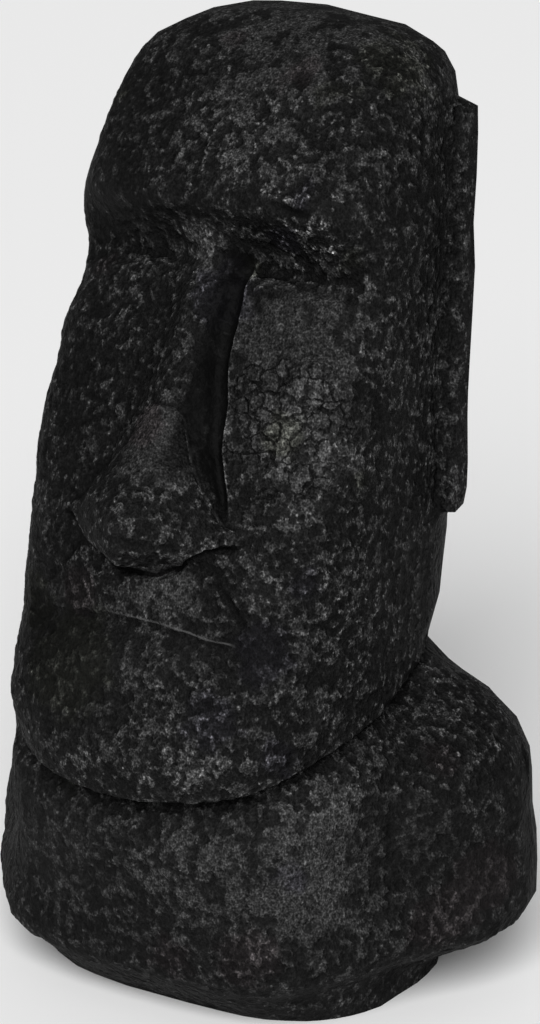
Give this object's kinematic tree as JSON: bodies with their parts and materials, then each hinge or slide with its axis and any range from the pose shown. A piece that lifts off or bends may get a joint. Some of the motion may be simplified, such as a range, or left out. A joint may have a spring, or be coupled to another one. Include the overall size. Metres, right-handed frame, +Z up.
{
  "type": "moai head statue",
  "caption": "Garden statue of a moai: a long stone head with a heavy brow, broad nose and slab ears, set on a low chest with rounded shoulders, standing on its flat underside.",
  "frame": {"origin": "centre of the flat underside of the body, on the floor", "axes": "+Z up, from the underside to the crown; the face looks along -Y; +X is the statue's own left"},
  "size_m": [0.3744, 0.2769, 0.6],
  "materials": {
    "stone": "rough black cast stone with pale grey flecks"
  },
  "bodies": {
    "root": {"moai_head": "stone"}
  },
  "joints": []
}
